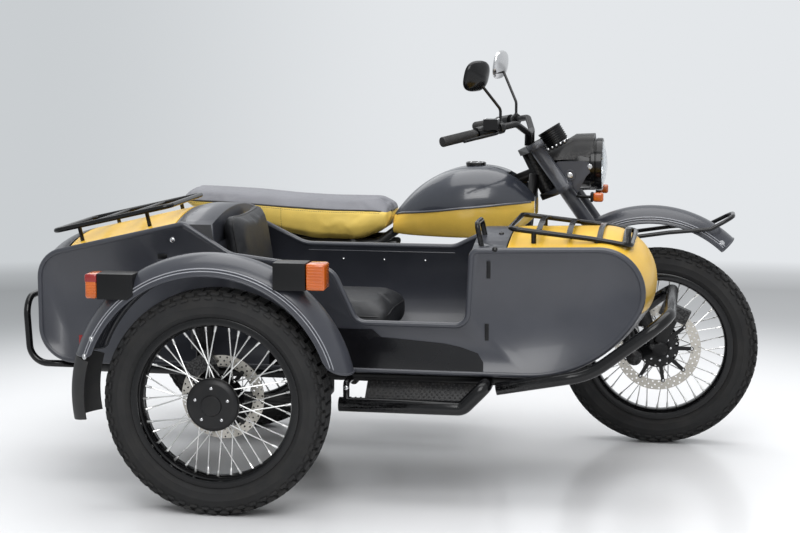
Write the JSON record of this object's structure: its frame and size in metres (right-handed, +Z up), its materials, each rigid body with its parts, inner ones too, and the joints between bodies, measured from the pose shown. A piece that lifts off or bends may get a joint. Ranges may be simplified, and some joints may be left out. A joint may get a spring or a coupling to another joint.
{
  "type": "sidecar motorcycle",
  "caption": "Flat-twin motorcycle with a leading-link fork, a bench seat and a single-seat sidecar with a boot, wire wheels and racks.",
  "frame": {"origin": "middle of the whole vehicle's footprint, on the ground", "axes": "+X forward, +Y to the rider's left, +Z up; the sidecar is on the -Y side"},
  "size_m": [2.329, 1.66, 1.357],
  "materials": {
    "paint_grey": "satin-gloss dark grey paint",
    "paint_yellow": "gloss yellow paint",
    "metal_black": "satin black powder coat",
    "alloy": "cast and machined alloy",
    "steel": "brushed steel",
    "tyre": "black rubber",
    "rubber": "black rubber",
    "vinyl": "grained vinyl",
    "plastic": "black moulded plastic",
    "glass": "clear lamp glass",
    "lens": "amber and red lens plastic"
  },
  "bodies": {
    "chassis": {"frame": "metal_black", "rear_suspension": "metal_black", "rear_fender": "paint_grey", "tail_lamp": "plastic", "engine_case": "alloy", "cylinders": "alloy", "exhaust": "steel", "fuel_tank": "paint_yellow", "bench_seat": "vinyl", "side_covers": "paint_grey", "sidecar_body": "paint_grey", "sidecar_nose": "paint_yellow", "body_rails": "metal_black", "sidecar_cushion": "vinyl", "sidecar_backrest": "vinyl", "sidecar_frame": "metal_black", "sidecar_suspension": "metal_black", "guard_bars": "metal_black", "sidecar_fender": "paint_grey", "mudflap": "rubber", "lamp_housings": "plastic", "lamp_lenses": "lens"},
    "steering": {"fork": "metal_black", "front_suspension": "metal_black", "headlight": "metal_black", "headlight_glass": "glass", "front_indicators": "lens", "handlebar": "metal_black", "grips": "rubber", "hand_controls": "plastic", "mirrors": "plastic", "front_fender": "paint_grey", "fender_loop": "metal_black"},
    "front_wheel": {"front_tyre": "tyre", "front_wheel": "metal_black", "front_disc": "steel"},
    "rear_wheel": {"rear_tyre": "tyre", "rear_wheel": "metal_black", "rear_disc": "steel"},
    "sidecar_wheel": {"sidecar_tyre": "tyre", "sidecar_wheel": "metal_black", "sidecar_disc": "steel"},
    "trunk_lid": {"trunk_lid": "paint_yellow", "lid_rack": "metal_black"}
  },
  "joints": [
    {"name": "steering_turn", "type": "hinge", "parent": "chassis", "child": "steering", "pos_m": [0.39654, 0.39024, 0.94357], "axis": [-0.454, 0, 0.891], "range_deg": [-35, 35]},
    {"name": "front_wheel_turn", "type": "hinge", "parent": "steering", "child": "front_wheel", "pos_m": [0.8225, 0.39024, 0.342], "axis": [0, 1, 0], "continuous": true},
    {"name": "rear_wheel_turn", "type": "hinge", "parent": "chassis", "child": "rear_wheel", "pos_m": [-0.6475, 0.39024, 0.342], "axis": [0, 1, 0], "continuous": true},
    {"name": "sidecar_wheel_turn", "type": "hinge", "parent": "chassis", "child": "sidecar_wheel", "pos_m": [-0.4505, -0.75176, 0.342], "axis": [0, 1, 0], "continuous": true},
    {"name": "trunk_lid_turn", "type": "hinge", "parent": "chassis", "child": "trunk_lid", "pos_m": [-0.82881, 0.02024, 0.80778], "axis": [-0.9746, 0, -0.2239], "range_deg": [0, 80]}
  ]
}
